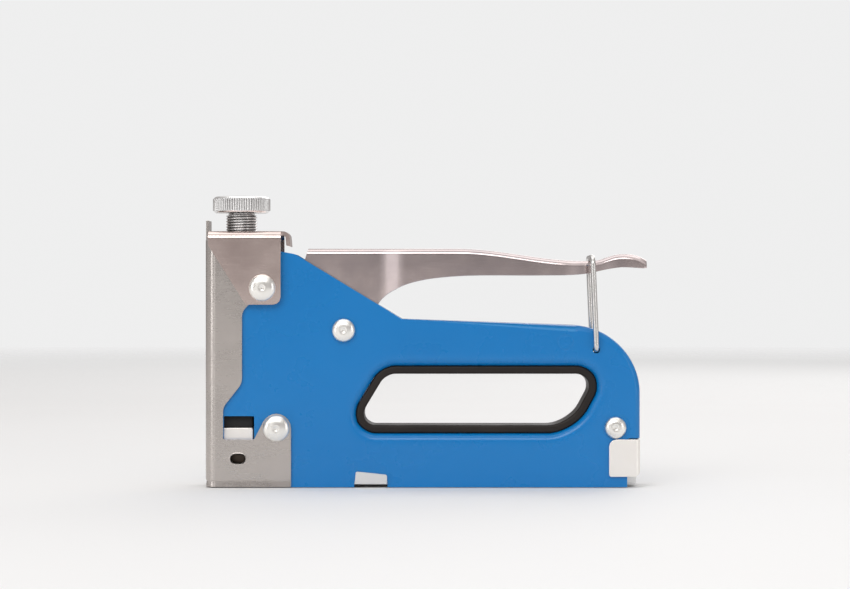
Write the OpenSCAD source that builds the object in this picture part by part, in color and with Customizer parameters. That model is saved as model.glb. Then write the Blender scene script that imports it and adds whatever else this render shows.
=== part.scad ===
// Hand staple gun with a stamped two-shell body, a plated nose, a squeeze lever, a wire lock,
// a power adjusting screw and a pull-out magazine.
// Lengths are millimetres. +Z is up, the nose points to -X, and the body is symmetric about Y = 0.
// The origin is at the middle of the base, half way between the nose and the lever's tail.
// Inside the modules X is counted from the front face of the nose.

/* [Overall] */
// Nose to lever tail
overall_length = 162.2; // [140:0.1:196]
// Base to the top edge of the body shells at the nose
body_height = 86.2; // [82:0.1:104]
// Width over the two body shells
body_width = 20; // [19:0.5:25]

/* [Sheet metal] */
// Body shell wall
shell_wall = 1.2; // [0.8:0.1:1.5]
// Nose plate wall
plate_wall = 1.0; // [0.8:0.1:1.2]
// Adjuster bracket wall
bracket_wall = 1.5; // [1:0.1:1.8]
// Lever wall
lever_wall = 1.2; // [0.8:0.1:1.5]

/* [Grip] */
// Height of the hand hole's lower edge above the base
hole_floor = 19.6; // [18.6:0.1:24]
// Depth of the grip bar between the hand hole and its top edge
grip_depth = 16.6; // [14:0.1:18]
// Thickness of the black liner in the hand hole
liner_wall = 3; // [2:0.1:4]
// Radius of the rear arch
arch_r = 25; // [20:0.5:28]

/* [Magazine] */
// Inside width of the magazine channel, for 11.3 mm staples
magazine_w = 11.6; // [9.6:0.1:12.6]
// Longest staple leg that the magazine holds
staple_leg = 14; // [10:1:14]

/* [Lever] */
// Width of the lever handle
lever_w = 17; // [16:0.5:18]
// Width of the lever where it enters the body
neck_w = 14.4; // [13.4:0.1:15.4]
// Diameter of the pivot pin
pivot_d = 5; // [4:0.1:6]
// Bail wire diameter
bail_wire = 2; // [1.6:0.1:2.4]

/* [Power adjuster] */
// Screw diameter over the thread
screw_d = 11.5; // [10:0.1:12]
// Screw thread pitch
screw_pitch = 1; // [0.8:0.05:1.25]
// Knob diameter
knob_d = 21.2; // [18:0.1:24]
// Knob height
knob_h = 6; // [5:0.1:8]
// Number of knurls round the knob
knurls = 72; // [36:4:80]

/* [Hidden] */

$fn = 48;
arc_steps = 8;        // straight pieces in a rounded corner of an outline
run = 0.1;            // radial clearance of a turning fit
slip = 0.15;          // clearance between sliding flat faces

// Widths from the middle plane
shell_y = body_width / 2;
shell_in = shell_y - shell_wall;
plate_y = shell_y + plate_wall;
bracket_y = plate_y + bracket_wall;

// Stations along X from the nose
tail_overhang = 2.9;
rear_x = overall_length - tail_overhang;
nose_edge_x = 4.2;                 // front edge of the shells, behind the nose plate's bends
grip_x = 72.1;                     // where the slanted top meets the grip
shoulder_x = 32.9;                 // where the slanted top starts
rear_step = 4.8;                   // the magazine end of the shells stops this far ahead of the arch
shell_end_x = rear_x - rear_step;
bail_x = rear_x - 16.1;

// Levels above the base
grip_top_front = body_height - 24.7;
grip_top_rear = grip_top_front - 3.1;
hole_top = grip_top_rear + 2.6 - grip_depth;
pivot = [50.7, body_height - 28.8];
front_top = [21.1, body_height - 13.3];
front_bottom = [26.1, 21.5];
rear_hole = [rear_x - 9.1, 21.8];
bracket_top = body_height + 7.5;
bracket_foot = body_height - 19.4;
plate_top = bracket_top - 3.2;     // the nose plate ends below the bracket's bend
bail_z = body_height - 35.9;
cap_top = 17.5;
notch_z = cap_top + 0.4;           // ceiling of the notch that the rear cap fills

// Fasteners
rivet_d = 5;
rear_rivet_d = 4;
head_r = 4.9;
small_head_r = 4;
head_h = 2.3;

// Hammer and adjuster
screw_x = 12.65;
screw_bore = screw_d - 2.7;
lever_swing = 11;                  // squeeze angle that the hammer's room is sized for
nose_x = screw_x + 2.55;            // middle of the lifter's nose
nose_r = 2.4;
lift = (pivot.x - nose_x) * lever_swing * PI / 180;
screw_down = 6 * screw_pitch;      // how far the screw can be wound in
striker_t = 0.9;
striker_x = plate_wall + 0.5;
striker_foot = 8.5;                // the blade's lower end
striker_rivet_d = 3;
striker_rivet_z = 8;               // its rivet, above the plunger's lower face
plunger_x = striker_x + striker_t;
plunger_end = 18.2;
plunger_z = pivot.y - 15.4;
plunger_top = pivot.y + 8.6;
pocket_depth = 4;                  // the main spring's pocket in the plunger
pocket_floor = plunger_top - pocket_depth;
screw_foot = plunger_top + lift + screw_down + 1;
knob_z = bracket_top + screw_down + 0.9;
seat_top = knob_z - 0.6;
seat_h = 3;

// Magazine
staple_top = staple_leg + 2;
channel_y = magazine_w / 2 + 1;
channel_top = staple_top + 1;
channel_x = plunger_x + 0.3;
rail_y = magazine_w / 2 - 1.3;
rail_wall = 0.8;
rail_top = staple_top - 1;
rod_z = 8;
rod_d = 3;
tab_x = [54.8, 66.6];

through = 2 * body_width;          // longer than the body is wide, for cuts right across it

// Points of an arc, and of an outline whose corners are given as [x, z, radius]
function arc(c, r, a0, a1, n = arc_steps) =
    [for (i = [0:n]) let (a = a0 + (a1 - a0) * i / n) c + r * [cos(a), sin(a)]];
function xy(p) = [p.x, p.y];
function unit(v) = v / norm(v);
function turn(a) = a > 180 ? a - 360 : a < -180 ? a + 360 : a;
function corner(a, p, b) =
    p[2] == 0 ? [xy(p)] :
    let (u = unit(xy(a) - xy(p)), v = unit(xy(b) - xy(p)), half = acos(u * v) / 2,
         c = xy(p) + unit(u + v) * p[2] / sin(half), s = xy(p) + u * p[2] / tan(half) - c,
         e = xy(p) + v * p[2] / tan(half) - c, a0 = atan2(s.y, s.x))
    arc(c, p[2], a0, a0 + turn(atan2(e.y, e.x) - a0));
function rounded(p) =
    [for (i = [0:len(p) - 1]) each corner(p[(i + len(p) - 1) % len(p)], p[i], p[(i + 1) % len(p)])];

// Outline of a belt run anticlockwise round circles given as [x, z, radius]
function belt_normal(a, b) =
    let (d = xy(b) - xy(a)) atan2(d.y, d.x) - acos((a[2] - b[2]) / norm(d));
function belt(c, n = arc_steps + 4) =
    [for (i = [0:len(c) - 1])
        let (a0 = belt_normal(c[(i + len(c) - 1) % len(c)], c[i]),
             a1 = belt_normal(c[i], c[(i + 1) % len(c)]))
        each arc(xy(c[i]), c[i][2], a0, a0 + (a1 < a0 ? a1 + 360 - a0 : a1 - a0), n)];

// The hand hole's four corner circles, moved in by an inset
function hand_hole(inset) =
    belt([[62.2, hole_floor + 7.2, 7.2 - inset],
          [rear_x - 33.8, hole_floor + 16.6, 16.6 - inset],
          [rear_x - 23.1, hole_top - 7.5, 7.5 - inset],
          [69.5, hole_top - 9, 9 - inset]]);

// An outline in X and Z, drawn from y0 to y1
module slab(points, y0, y1) {
    translate([0, y1, 0]) rotate([90, 0, 0]) linear_extrude(y1 - y0) polygon(points);
}

// A round bar or hole across the body at an [x, z] place
module cross_bar(at, d, y0, y1) {
    translate([at.x, y1, at.y]) rotate([90, 0, 0]) cylinder(d = d, h = y1 - y0);
}

// A round wire along a path, with up never parallel to the path
module wire_sweep(path, r, up, sides = 6) {
    n = len(path);
    ring = [for (i = [0:n - 1])
        let (t = unit(path[min(i + 1, n - 1)] - path[max(i - 1, 0)]), u = unit(cross(t, up)),
             v = cross(u, t))
        for (j = [0:sides - 1]) path[i] + r * (cos(360 * j / sides) * u + sin(360 * j / sides) * v)];
    skin = [for (i = [0:n - 2], j = [0:sides - 1])
        let (a = i * sides + j, b = i * sides + (j + 1) % sides)
        each [[a, a + sides, b], [b, a + sides, b + sides]]];
    caps = [for (j = [1:sides - 2])
        each [[0, j, j + 1], [(n - 1) * sides, (n - 1) * sides + j + 1, (n - 1) * sides + j]]];
    polyhedron(points = ring, faces = concat(skin, caps));
}

// The same thing on both sides of the middle plane
module both_sides() {
    children();
    mirror([0, 1, 0]) children();
}

// Rivet with a low domed head on each side and a dimple in each head
module rivet(at, shank_d, half_grip, radius) {
    dimple_r = 1.4;
    dimple = 0.7;
    head = [[radius, 0], [radius - 0.2, 0.7], [radius - 1.4, head_h * 0.8], [dimple_r, head_h],
            [dimple_r - 0.4, head_h - dimple / 2], [0, head_h - dimple]];
    translate([at.x, 0, at.y]) both_sides() rotate([90, 0, 0]) rotate_extrude()
        polygon(concat([[0, 0], [shank_d / 2, 0], [shank_d / 2, half_grip]],
                       [for (p = head) [p.x, half_grip + p.y]]));
}

// Two sleeves on a rivet, between the magazine or the lever and the shells
module sleeves(at, inner_d, outer_d, y) {
    both_sides() difference() {
        cross_bar(at, outer_d, y, shell_in);
        cross_bar(at, inner_d, 0, shell_y);
    }
}

// Side outline of a body shell
shell_points = rounded([
    [nose_edge_x, 0, 0], [shell_end_x, 0, 0], [shell_end_x, notch_z, 0], [rear_x, notch_z, 0],
    [rear_x, grip_top_rear, arch_r], [grip_x, grip_top_front, 4],
    [shoulder_x, body_height - 0.9, 3], [28, body_height, 2], [nose_edge_x, body_height, 0]]);

// The turned-in edge along the grip and the arch, one wall thick
grip_edge_points = concat(
    rounded([[rear_x, notch_z, 0], [rear_x, grip_top_rear, arch_r], [grip_x, grip_top_front, 0]]),
    rounded([[grip_x, grip_top_front - shell_wall, 0],
             [rear_x - shell_wall, grip_top_rear - shell_wall, arch_r - shell_wall],
             [rear_x - shell_wall, notch_z + shell_wall, 0],
             [shell_end_x, notch_z + shell_wall, 0], [shell_end_x, notch_z, 0]]));

window = [6.9, 18, 17.8, 26];       // x from, x to, z from, z to
slot_at = [12.1, 10.4];             // punched oval hole in the nose
slot_size = [6, 4];

module oval_slot() {
    half = (slot_size.x - slot_size.y) / 2;
    for (s = [-1, 1]) cross_bar([slot_at.x + s * half, slot_at.y], slot_size.y, -through, through);
    translate([slot_at.x - half, -through, slot_at.y - slot_size.y / 2])
        cube([2 * half, 2 * through, slot_size.y]);
}

tab_notch = [0.2, 2.4];              // room beside the magazine's tab, and the notch's height

module shell() {
    outside = -shell_y - 1;
    difference() {
        union() {
            slab(shell_points, -shell_y, -shell_in);
            slab(grip_edge_points, -shell_in, 0);
            slab(hand_hole(-shell_wall), -shell_in, 0);
        }
        slab(hand_hole(0), outside, 1);
        translate([window[0], outside, window[2]])
            cube([window[1] - window[0], shell_y, window[3] - window[2]]);
        translate([tab_x[0] - tab_notch.x, outside, -1])
            cube([tab_x[1] - tab_x[0] + 2 * tab_notch.x, shell_wall + 2, tab_notch.y + 1]);
        oval_slot();
        cross_bar(front_top, rivet_d, outside, 0);
        cross_bar(front_bottom, rivet_d, outside, 0);
        cross_bar(pivot, pivot_d, outside, 0);
        cross_bar(rear_hole, rear_rivet_d, outside, 0);
        cross_bar([bail_x, bail_z], bail_wire + 2 * run, outside, 0);
    }
}

module left_shell() { color([0, 0.42, 0.72]) shell(); }
module right_shell() { color([0, 0.42, 0.72]) mirror([0, 1, 0]) shell(); }

// Plated nose, folded round the front of both shells. A round lug holds its lower rivet, and the
// edge leaves the lug along a tangent to the window's lower corner.
lug_r = 5.4;
sill = [window[1], window[2] - 0.3];
function lug_tangent() =
    let (v = sill - front_bottom) atan2(v.y, v.x) + 360 - acos(lug_r / norm(v));
plate_rear = front_bottom.x + lug_r;
plate_points = concat(
    [[0, 0], [plate_rear, 0]], arc(front_bottom, lug_r, 0, lug_tangent(), 2 * arc_steps),
    rounded([[sill.x, sill.y, 0], [window[0] - 0.2, sill.y, 0], [window[0] - 0.2, 29.2, 4],
             [13.6, 38, 5], [13.6, bracket_foot - 2.6, 4], [18, bracket_foot + 2, 0],
             [25.5, bracket_foot + 2, 0], [25.5, plate_top, 0], [0, plate_top, 0]]));

// A U bent from sheet: its outline from above, with the bends' outer radius and the sheet's wall
module folded(half_width, wall, front, length, bend) {
    inner = half_width - wall;
    difference() {
        polygon(rounded([[front, -half_width, bend], [front + length, -half_width, 0],
                         [front + length, half_width, 0], [front, half_width, bend]]));
        polygon(rounded([[front + wall, -inner, bend - wall], [front + length + 1, -inner, 0],
                         [front + length + 1, inner, 0], [front + wall, inner, bend - wall]]));
    }
}

module front_plate() {
    finger = [6, 7.2];                // half width and height of the upright finger at the top
    color([0.8, 0.79, 0.77]) {
        difference() {
            intersection() {
                linear_extrude(bracket_top) folded(plate_y, plate_wall, 0, 2 * plate_rear, 4);
                slab(plate_points, -plate_y, plate_y);
            }
            oval_slot();
            cross_bar(front_top, rivet_d, -through, through);
            cross_bar(front_bottom, rivet_d, -through, through);
        }
        translate([0, -finger.x, plate_top]) cube([plate_wall, 2 * finger.x, finger.y]);
    }
}

// Bracket over the top of the nose that carries the adjusting screw
module adjuster_bracket() {
    front = plate_wall + 0.3;
    back = 27.8;
    under = bracket_top - bracket_wall;
    tip = bracket_top - 5.6;          // lower end of the tongue bent down at the rear
    side = rounded([[front, bracket_top + 1, 0], [front, bracket_top - 5.2, 0],
                    [15, bracket_foot, 1.2], [back, bracket_foot, 2.6], [back, bracket_top + 1, 0]]);
    tongue = rounded([[back - 1, bracket_top, 0], [back - 1, under, 0], [back + 1.6, under, 1],
                      [back + 1.9, tip, 0], [back + 3.3, tip, 0], [back + 3, bracket_top, 2.4]]);
    color([0.78, 0.76, 0.74]) difference() {
        union() {
            intersection() {
                translate([0, 0, bracket_top]) rotate([0, 90, 0])
                    linear_extrude(2 * back)
                        folded(bracket_y, bracket_wall, 0, bracket_top - bracket_foot, 3);
                slab(side, -bracket_y, bracket_y);
            }
            slab(tongue, -7, 7);
        }
        translate([screw_x, 0, under - 1]) cylinder(d = nut_collar_d, h = bracket_wall + 2);
        cross_bar(front_top, rivet_d, -through, through);
    }
}

nut_collar_d = screw_d + 2.5;        // the nut is pressed into the bracket by this collar

// Pressed-in nut that the adjusting screw turns in
module adjuster_nut() {
    height = 5;
    under = bracket_top - bracket_wall;
    color([0.7, 0.7, 0.7]) translate([screw_x, 0, under]) difference() {
        union() {
            translate([0, 0, -height]) cylinder(d = screw_d + 4.5, h = height);
            cylinder(d = nut_collar_d, h = bracket_wall);
        }
        translate([0, 0, -height - 1]) cylinder(d = screw_d + 2 * run, h = height + bracket_wall + 2);
    }
}

thread_depth = 0.5;
neck_d = screw_d - 1.4;              // plain neck that the knob is pressed on
neck_grip = 3;                       // how far the neck goes into the knob

// Hollow screw whose thread is drawn as a row of grooves one pitch apart
module adjuster_screw() {
    neck_z = knob_z - 0.9;
    groove = screw_pitch * 0.4;
    color([0.75, 0.75, 0.76]) translate([screw_x, 0, 0]) difference() {
        union() {
            translate([0, 0, screw_foot]) cylinder(d = screw_d, h = neck_z - screw_foot);
            translate([0, 0, neck_z]) cylinder(d = neck_d, h = knob_z + neck_grip - neck_z);
        }
        translate([0, 0, screw_foot - 1]) cylinder(d = screw_bore, h = seat_top + 1.2 - screw_foot);
        for (z = [screw_foot + 1:screw_pitch:neck_z - 1])
            translate([0, 0, z]) rotate_extrude()
                polygon([[screw_d / 2 + 0.1, -groove], [screw_d / 2 - thread_depth, 0],
                         [screw_d / 2 + 0.1, groove]]);
    }
}

// Knurled band between two plain chamfered ends
module adjuster_knob() {
    r = knob_d / 2;
    depth = 0.4;
    chamfer = 0.8;
    root = r - depth - 0.1;
    rim = [for (i = [0:2 * knurls - 1]) let (a = 180 * i / knurls, k = r - depth * (i % 2))
        [k * cos(a), k * sin(a)]];
    color([0.9, 0.9, 0.92]) translate([screw_x, 0, knob_z]) difference() {
        union() {
            rotate_extrude() polygon([[0, 0], [root - chamfer, 0], [root, chamfer],
                                      [root, knob_h - chamfer], [root - chamfer, knob_h], [0, knob_h]]);
            translate([0, 0, chamfer]) linear_extrude(knob_h - 2 * chamfer) polygon(rim);
        }
        translate([0, 0, -1]) cylinder(d = neck_d, h = neck_grip + 1);
    }
}

module spring_seat() {
    color([0.55, 0.55, 0.56]) translate([screw_x, 0, seat_top - seat_h]) {
        cylinder(d = screw_bore - 4 * run, h = seat_h);
    }
}

module main_spring() {
    wire_r = 0.7;
    r = screw_bore / 2 - wire_r - 0.2;
    turns = 11;
    steps = 16;
    z0 = pocket_floor + wire_r + 0.05;
    z1 = seat_top - seat_h - wire_r - 0.05;
    path = [for (i = [0:turns * steps]) let (a = 360 * i / steps)
        [screw_x + r * cos(a), r * sin(a), z0 + (z1 - z0) * i / (turns * steps)]];
    color([0.3, 0.3, 0.32]) wire_sweep(path, wire_r, [0, 0, 1]);
}

module plunger() {
    y = neck_w / 2 - 0.2;
    gap = nose_r + 0.3;
    color([0.35, 0.35, 0.37]) difference() {
        translate([plunger_x, -y, plunger_z])
            cube([plunger_end - plunger_x, 2 * y, plunger_top - plunger_z]);
        translate([screw_x, 0, pocket_floor]) cylinder(d = screw_bore + 2 * run, h = pocket_depth + 1);
        translate([nose_x - gap, -y - 1, pivot.y - gap]) cube([plunger_end, 2 * y + 2, 2 * gap]);
        rivet_shank(-1);
    }
}

// The rivet that holds the blade to the plunger, or its hole when it starts ahead of the blade
module rivet_shank(ahead) {
    translate([striker_x + ahead, 0, plunger_z + striker_rivet_z]) rotate([0, 90, 0])
        cylinder(d = striker_rivet_d, h = 6.4 - ahead);
}

// Driving blade
module striker() {
    y = magazine_w / 2 - 0.2;
    color([0.6, 0.6, 0.62]) difference() {
        translate([striker_x, -y, striker_foot])
            cube([striker_t, 2 * y, plunger_top - 6 - striker_foot]);
        rivet_shank(-1);
    }
}

module striker_rivet() { color([0.5, 0.5, 0.52]) rivet_shank(0); }

guide_top = window[2] + 3.9;
guide_end = 17.6;

// Rubber block that stops the plunger at the end of its blow
module bumper() {
    y = shell_in - 0.8;
    front = 5;
    color([0.05, 0.05, 0.05]) translate([front, -y, guide_top])
        cube([guide_end - front - 0.2, 2 * y, plunger_z - lift - 0.5 - guide_top]);
}

// Plated block behind the blade, under the bumper
module striker_guide() {
    front = 3;
    corner_r = 0.8;
    color([0.85, 0.85, 0.86]) slab(
        rounded([[front, channel_top, 0], [guide_end, channel_top, corner_r],
                 [guide_end, guide_top, corner_r], [front, guide_top, 0]]),
        -shell_in, shell_in);
}

// Lever: a pressed channel, narrow at the pivot and wide at the handle
lever_front = 37.6;
lever_top_z = body_height + 1.1;
saddle_x = bail_x - 1.4;
saddle_z = body_height - 3.4;
crest_x = saddle_x - 45;
// Heights of the top line: level from the front, then a long dip to the saddle and a raised tail
function dip(t) = (1 - cos(180 * t)) / 2;
lever_top = concat(
    [[lever_front, lever_top_z], [crest_x, lever_top_z]],
    [for (i = [1:10]) [crest_x + (saddle_x - crest_x) * i / 10,
                       lever_top_z + (saddle_z - lever_top_z) * dip(i / 10)]],
    [for (i = [1:6]) [saddle_x + 14 * i / 6, saddle_z + 3.7 * dip(i / 6)]],
    [[overall_length - 3.4, saddle_z + 3.4], [overall_length - 1.2, saddle_z + 2.2],
     [overall_length, saddle_z - 0.4]]);
lever_under = [
    [overall_length - 1.6, saddle_z - 2], [saddle_x + 11, saddle_z - 2.4],
    [saddle_x + 6, saddle_z - 3], [saddle_x - 3, saddle_z - 5], [saddle_x - 18, saddle_z - 5.2],
    [crest_x, lever_top_z - 9.8], [83, lever_top_z - 10.8], [75, lever_top_z - 12.4],
    [70, lever_top_z - 14.6], [65.6, lever_top_z - 17.4], [62.8, lever_top_z - 20.3]];

lever_boss_r = 6.5;
lever_flare = [64, 74.4];            // where the neck widens to the handle
lever_taper = [saddle_x - 12, saddle_x + 10];
tail_w = 11;

// Outline of the lever from the side
lever_side = concat(lever_top, lever_under, arc(pivot, lever_boss_r, -35, -170),
                    [[lever_front - 1.5, lever_top_z - 5]]);

// The space inside the lever: below its top sheet, open below and at the front
lever_space = concat([for (p = lever_top) p - [0, lever_wall]],
                     [[overall_length, 0], [lever_front - 9, 0],
                      [lever_front - 9, lever_top_z - lever_wall]]);

// Outline of the lever from above, drawn in by an inset
module lever_plan(inset) {
    half = [for (p = [[lever_front - 10, neck_w], [lever_flare[0], neck_w], [lever_flare[1], lever_w],
                      [lever_taper[0], lever_w], [lever_taper[1], tail_w],
                      [overall_length - 1.3 * inset, tail_w]]) [p.x, p.y / 2 - inset]];
    linear_extrude(body_height + 40) {
        polygon(concat(half, [for (i = [len(half) - 1:-1:0]) [half[i].x, -half[i].y]]));
    }
}

module lever() {
    color([0.82, 0.82, 0.83]) difference() {
        intersection() {
            slab(lever_side, -lever_w, lever_w);
            lever_plan(0);
        }
        intersection() {
            slab(lever_space, -lever_w, lever_w);
            lever_plan(lever_wall);
        }
        cross_bar(pivot, pivot_d + 2 * run, -through, through);
        cross_bar(lifter_hole, lifter_d, -through, through);
    }
}

lifter_hole = [pivot.x + 8, pivot.y + 9.5];
lifter_d = 3;                       // its rivet's diameter
lifter_y = 3;                       // half its thickness

// Arm fixed in the lever whose nose lifts the plunger. Its neck is thin where it enters the
// plunger's slot.
module lifter() {
    neck = 1.3;                       // half height of the neck
    arm = belt([[nose_x, pivot.y, nose_r - 1], [pivot.x, pivot.y, 5.5],
                [lifter_hole.x, lifter_hole.y, 3.5]]);
    color([0.4, 0.4, 0.42]) difference() {
        union() {
            cross_bar([nose_x, pivot.y], 2 * nose_r, -lifter_y, lifter_y);
            slab(arm, -lifter_y, lifter_y);
        }
        cross_bar(pivot, pivot_d + 2 * run, -through, through);
        cross_bar(lifter_hole, lifter_d, -through, through);
        for (s = [-1, 1])
            slab([[plunger_end - 2.2, pivot.y + s * neck], [plunger_end + 6, pivot.y + s * neck],
                  [plunger_end + 6, pivot.y + s * 8], [nose_x + nose_r, pivot.y + s * 8]],
                 -through, through);
    }
}

module lifter_rivet() {
    half = neck_w / 2 + 0.5;
    color([0.6, 0.6, 0.62]) cross_bar(lifter_hole, lifter_d, -half, half);
}

module lever_pin() { color([0.9, 0.89, 0.86]) rivet(pivot, pivot_d, shell_y, 4.3); }
module front_top_rivet() { color([0.9, 0.89, 0.86]) rivet(front_top, rivet_d, bracket_y, head_r); }
module front_bottom_rivet() { color([0.9, 0.89, 0.86]) rivet(front_bottom, rivet_d, plate_y, head_r); }
module rear_rivet() { color([0.9, 0.89, 0.86]) rivet(rear_hole, rear_rivet_d, shell_y, small_head_r); }

module pivot_washers() {
    color([0.5, 0.5, 0.52]) sleeves(pivot, pivot_d, pivot_d + 4.5, neck_w / 2 + slip);
}

module front_spacers() {
    color([0.6, 0.6, 0.62]) sleeves(front_bottom, rivet_d, rivet_d + 3, channel_y);
}

module rear_spacers() {
    color([0.6, 0.6, 0.62]) sleeves(rear_hole, rear_rivet_d, rear_rivet_d + 3, channel_y);
}

// Torsion spring on the pivot pin: one leg lies on the hand hole's flange, the other
// pushes the lifter rivet up
spring_wire = 0.4;                  // wire radius
spring_r = pivot_d / 2 + 1.2;
function tangent_angle(p, s) =
    let (v = p - pivot) atan2(v.y, v.x) + s * acos(spring_r / norm(v));

module lever_spring() {
    steps = 14;
    foot = [pivot.x + 15.3, hole_top + shell_wall + spring_wire + 0.3];
    tip = lifter_hole - [0, lifter_d / 2 + spring_wire + 0.3];
    a0 = tangent_angle(foot, -1);
    a1 = tangent_angle(tip, 1) - 720;
    y0 = lifter_y + spring_wire + slip;
    y1 = y0 + 2.4 * spring_wire * (a0 - a1) / 360;
    coil = [for (i = [0:2 * steps]) let (a = a0 + (a1 - a0) * i / (2 * steps))
        [pivot.x + spring_r * cos(a), y0 + (y1 - y0) * i / (2 * steps), pivot.y + spring_r * sin(a)]];
    beyond = unit(tip - [coil[2 * steps].x, coil[2 * steps].z]) * 3;
    path = concat([[foot.x, y0, foot.y]], coil, [[tip.x + beyond.x, y1, tip.y + beyond.y]]);
    color([0.3, 0.3, 0.32]) wire_sweep(path, spring_wire, [0, 1, 0]);
}

// Magazine channel, open below, with ears on the rivets and two tabs through the shells
module magazine_channel() {
    inner = magazine_w / 2;
    end = shell_end_x - 2.5;
    foot = 0.8;
    tab_y = [shell_y + 0.2, shell_y + 1.2];
    tab_z = 1.2;
    tab_side = rounded([[tab_x[0], tab_z, 0], [tab_x[1], tab_z, 0], [tab_x[1], tab_z + 3.4, 0.8],
                        [tab_x[0] + 0.4, tab_z + 4.6, 0.6]]);
    front_ear = belt([[front_bottom.x - 3, 10, 3], [front_bottom.x + 3, 10, 3],
                      [front_bottom.x, front_bottom.y, 4.2]]);
    rear_ear = belt([[rear_hole.x - 3, 10, 1], [rear_hole.x + 1, 10, 1],
                     [rear_hole.x, rear_hole.y, 3.6]]);
    color([0.72, 0.71, 0.7]) difference() {
        union() {
            translate([channel_x, -channel_y, foot])
                cube([end - channel_x, 2 * channel_y, channel_top - foot]);
            both_sides() {
                slab(front_ear, inner, channel_y);
                slab(rear_ear, inner, channel_y);
                translate([tab_x[0], channel_y - 0.5, tab_z])
                    cube([tab_x[1] - tab_x[0], tab_y[1] - channel_y + 0.5, 1]);
                slab(tab_side, tab_y[0], tab_y[1]);
            }
        }
        translate([0, -inner, 0]) cube([overall_length, 2 * inner, staple_top]);
        cross_bar(front_bottom, rivet_d, -through, through);
        cross_bar(rear_hole, rear_rivet_d, -through, through);
    }
}

cap_back = rear_x;
cap_front = rear_x - 11.5;
cap_wall = 1;
rail_front = channel_x + 0.1;
rail_foot = 1;

// A bar along the magazine at the guide rod's height
module rod(x0, x1, d) {
    translate([x0, 0, rod_z]) rotate([0, 90, 0]) cylinder(d = d, h = x1 - x0);
}

// Rail that the staples straddle, pulled out with the rear cap
module magazine_rail() {
    floor_z = rail_foot + rail_wall;
    inner = rail_y - rail_wall;
    color([0.7, 0.7, 0.71]) difference() {
        translate([rail_front, -rail_y, rail_foot])
            cube([cap_back - cap_wall - rail_front, 2 * rail_y, rail_top - rail_foot]);
        translate([rail_front + 1, -inner, floor_z]) cube([overall_length, 2 * inner, rail_top]);
        rod(rail_front - 1, rail_front + 2, rod_d);
    }
}

module guide_rod() { color([0.75, 0.75, 0.76]) rod(rail_front, cap_back, rod_d); }

pusher_front = rail_front + 0.1;
pusher_length = 20;
tongue = [pusher_front + 14, pusher_front + 18];

// Saddle on the rail that pushes the staples, with a tongue down to the guide rod
module pusher() {
    outer = magazine_w / 2 - slip;
    inner = rail_y + run;
    foot = 3;
    tongue_y = rail_y - rail_wall - slip;
    color([0.45, 0.45, 0.47]) difference() {
        translate([pusher_front, -outer, foot])
            cube([pusher_length, 2 * outer, staple_top - slip - foot]);
        difference() {
            translate([0, -inner, 0]) cube([overall_length, 2 * inner, rail_top + run]);
            translate([tongue[0], -tongue_y, rail_foot + rail_wall + slip])
                cube([tongue[1] - tongue[0], 2 * tongue_y, rail_top]);
        }
        rod(0, pusher_front + pusher_length + 1, rod_d + 2 * run);
    }
}

module pusher_spring() {
    wire_r = 0.35;
    r = rod_d / 2 + 0.9;
    turns = 36;
    steps = 10;
    x0 = tongue[1] + wire_r + 0.05;
    x1 = cap_back - cap_wall - wire_r - 0.05;
    path = [for (i = [0:turns * steps]) let (a = 360 * i / steps)
        [x0 + (x1 - x0) * i / (turns * steps), r * cos(a), rod_z + r * sin(a)]];
    color([0.6, 0.6, 0.62]) wire_sweep(path, wire_r, [1, 0, 0], 5);
}

// Plated end cap that is squeezed and pulled to open the magazine
module rear_cap() {
    y = shell_y + slip + cap_wall;
    foot = 3.8;
    side = rounded([[cap_front, foot, 0.8], [cap_back, foot, 1.8], [cap_back, cap_top, 0.5],
                    [cap_front, cap_top, 2.6]]);
    color([0.95, 0.94, 0.92]) difference() {
        intersection() {
            translate([cap_back, 0, 0]) mirror([1, 0, 0])
                linear_extrude(cap_top) folded(y, cap_wall, 0, 2 * (cap_back - cap_front), 1.8);
            slab(side, -y, y);
        }
        rod(cap_back - 5, cap_back + 1, rod_d);
    }
}

// Quarter bend of the bail's wire about the X axis, from the +Y direction up to +Z
module wire_bend(bend_r) {
    rotate([0, 90, 0]) rotate([0, 0, 90]) rotate_extrude(angle = 90)
        translate([bend_r, 0]) circle(d = bail_wire);
}

// Wire lock hinged in the shells that holds the lever down
module bail() {
    y = shell_y + 0.3 + bail_wire / 2;
    foot_r = 1.3;
    head_r = 3;
    top = [saddle_x - bail_x, saddle_z + bail_wire / 2 + 0.3 - bail_z];
    leg = norm(top);
    color([0.8, 0.8, 0.8]) translate([bail_x, 0, bail_z]) rotate([0, atan2(top.x, top.y), 0]) {
        for (side = [0, 1]) mirror([0, side, 0]) {
            cross_bar([0, 0], bail_wire, shell_in - 0.4, y - foot_r);
            translate([0, y - foot_r, foot_r]) rotate([-90, 0, 0]) wire_bend(foot_r);
            translate([0, y, foot_r]) cylinder(d = bail_wire, h = leg - foot_r - head_r);
            translate([0, y - head_r, leg - head_r]) wire_bend(head_r);
        }
        cross_bar([0, leg], bail_wire, head_r - y, y - head_r);
    }
}

// Moulded ring that lines the hand hole, a little narrower than the body
module grip_liner() {
    y = shell_y - 1.8;
    color([0.06, 0.05, 0.05]) difference() {
        slab(hand_hole(0), -y, y);
        slab(hand_hole(liner_wall), -y - 1, y + 1);
    }
}

module placed() { translate([-overall_length / 2, 0, 0]) children(); }

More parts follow.
